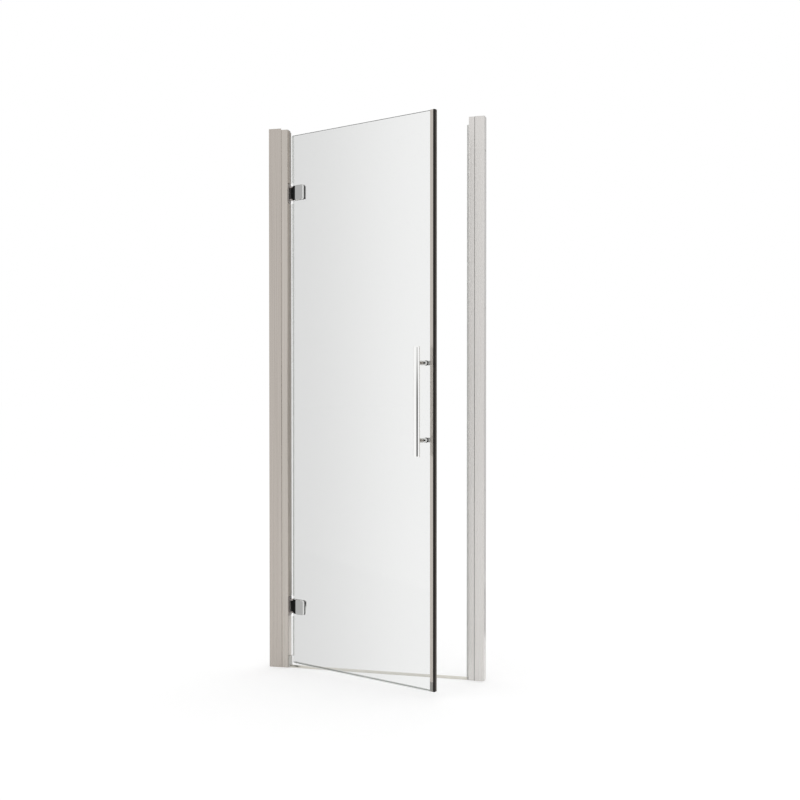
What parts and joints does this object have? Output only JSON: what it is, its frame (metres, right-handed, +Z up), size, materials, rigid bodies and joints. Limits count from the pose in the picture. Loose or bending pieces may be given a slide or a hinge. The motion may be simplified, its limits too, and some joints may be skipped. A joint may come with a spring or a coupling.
{
  "type": "hinged shower door",
  "caption": "Framed alcove shower door: clear glass panel hung on hinges, with a vertical bar handle, magnetic edge seal, adjustable wall profiles and a low sill.",
  "frame": {"origin": "on the tray under the closed glass, midway between the two walls", "axes": "+X from the hinge wall to the strike wall, +Y into the shower, +Z up"},
  "size_m": [0.752, 0.3008, 1.85],
  "materials": {
    "satin_aluminium": "satin",
    "dark_steel": "satin",
    "chrome": "polished",
    "stainless_steel": "satin",
    "clear_glass": "polished",
    "clear_seal": "gloss",
    "light_seal": "satin",
    "dark_seal": "satin",
    "magnet": "matt",
    "gasket_rubber": "matt",
    "bush_plastic": "matt",
    "grey_plastic": "satin",
    "corner_plastic": "satin"
  },
  "bodies": {
    "hinge_wall": {"hinge_wall_channel": "satin_aluminium"},
    "door_frame": {"hinge_post": "satin_aluminium", "hinge_post_plug": "grey_plastic", "hinge_post_trim": "satin_aluminium", "hinge_side_clamp_screws": "stainless_steel", "hinge_side_clamp_washers": "stainless_steel", "lower_hinge_pin": "stainless_steel", "lower_hinge_wall_plate": "dark_steel", "lower_hinge_wall_screws": "stainless_steel", "sill_block_screws": "stainless_steel", "sill_hinge_block": "grey_plastic", "sill_rail": "satin_aluminium", "sill_strike_block": "grey_plastic", "strike_post": "satin_aluminium", "strike_post_plug": "grey_plastic", "strike_seal_carrier": "light_seal", "strike_seal_magnet": "magnet", "strike_side_clamp_screws": "stainless_steel", "strike_side_clamp_washers": "stainless_steel", "upper_hinge_pin": "stainless_steel", "upper_hinge_wall_plate": "dark_steel", "upper_hinge_wall_screws": "stainless_steel"},
    "strike_wall": {"strike_wall_channel": "satin_aluminium"},
    "door": {"bottom_seal": "clear_seal", "door_corner_block": "corner_plastic", "door_edge_gasket": "gasket_rubber", "door_edge_profile": "satin_aluminium", "door_seal_carrier": "dark_seal", "door_seal_magnet": "magnet", "glass_panel": "clear_glass", "handle_bar": "chrome", "handle_end_caps": "chrome", "handle_grommets": "gasket_rubber", "handle_lower_knob": "chrome", "handle_lower_standoff": "chrome", "handle_studs": "stainless_steel", "handle_upper_knob": "chrome", "handle_upper_standoff": "chrome", "hinge_side_seal": "clear_seal", "lower_hinge_bushes": "bush_plastic", "lower_hinge_clamp_screws": "stainless_steel", "lower_hinge_front_leaf": "chrome", "lower_hinge_gaskets": "gasket_rubber", "lower_hinge_rear_leaf": "chrome", "upper_hinge_bushes": "bush_plastic", "upper_hinge_clamp_screws": "stainless_steel", "upper_hinge_front_leaf": "chrome", "upper_hinge_gaskets": "gasket_rubber", "upper_hinge_rear_leaf": "chrome", "lower_hinge_knuckle_cover": "bush_plastic", "upper_hinge_knuckle_cover": "bush_plastic"}
  },
  "joints": [
    {"name": "hinge_side_adjust", "type": "slide", "parent": "hinge_wall", "child": "door_frame", "axis": [1, 0, 0], "range_m": [-0.017, 0.005]},
    {"name": "door_swing", "type": "hinge", "parent": "door_frame", "child": "door", "pos_m": [-0.2975, 0, 0.92], "axis": [0, 0, -1], "range_deg": [-22.9, 67.1]},
    {"name": "strike_side_adjust", "type": "slide", "parent": "door_frame", "child": "strike_wall", "axis": [1, 0, 0], "range_m": [-0.01, 0.003]}
  ]
}
